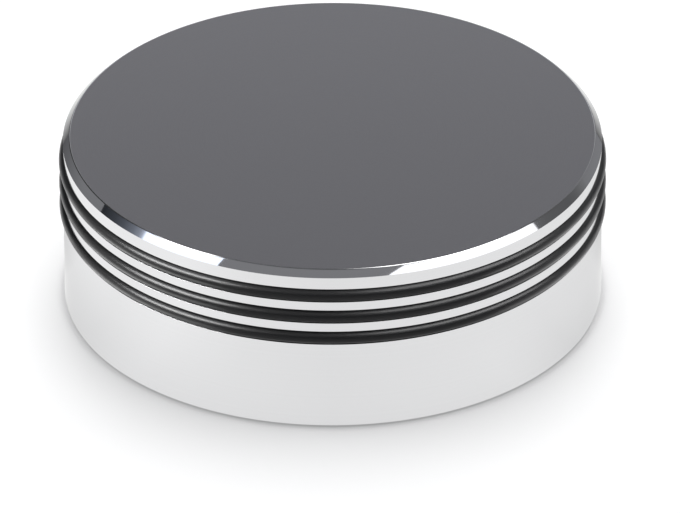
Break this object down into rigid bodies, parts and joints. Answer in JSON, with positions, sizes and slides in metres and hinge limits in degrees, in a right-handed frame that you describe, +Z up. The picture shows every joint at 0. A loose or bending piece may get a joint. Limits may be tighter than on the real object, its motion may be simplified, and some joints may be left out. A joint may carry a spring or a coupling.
{
  "type": "record weight",
  "caption": "Round turned aluminium puck with rubber damping rings in its side, a felt base pad and a blind spindle bore; it rests on a record label and holds the disc flat.",
  "frame": {"origin": "centre of the felt pad's underside, on the turning axis, where the weight rests on the record", "axes": "+Z up along the turning axis, towards the bevelled top face; X and Y are free because the part is round"},
  "size_m": [0.0812, 0.0812, 0.0265],
  "materials": {
    "polished_aluminium": "polished side and bevel, dark grey satin top",
    "ring_rubber": "smooth semi-gloss black",
    "pad_felt": "black pressed felt"
  },
  "bodies": {
    "root": {"weight_body": "polished_aluminium", "damping_ring_upper": "ring_rubber", "damping_ring_middle": "ring_rubber", "damping_ring_lower": "ring_rubber", "base_pad": "pad_felt"}
  },
  "joints": []
}
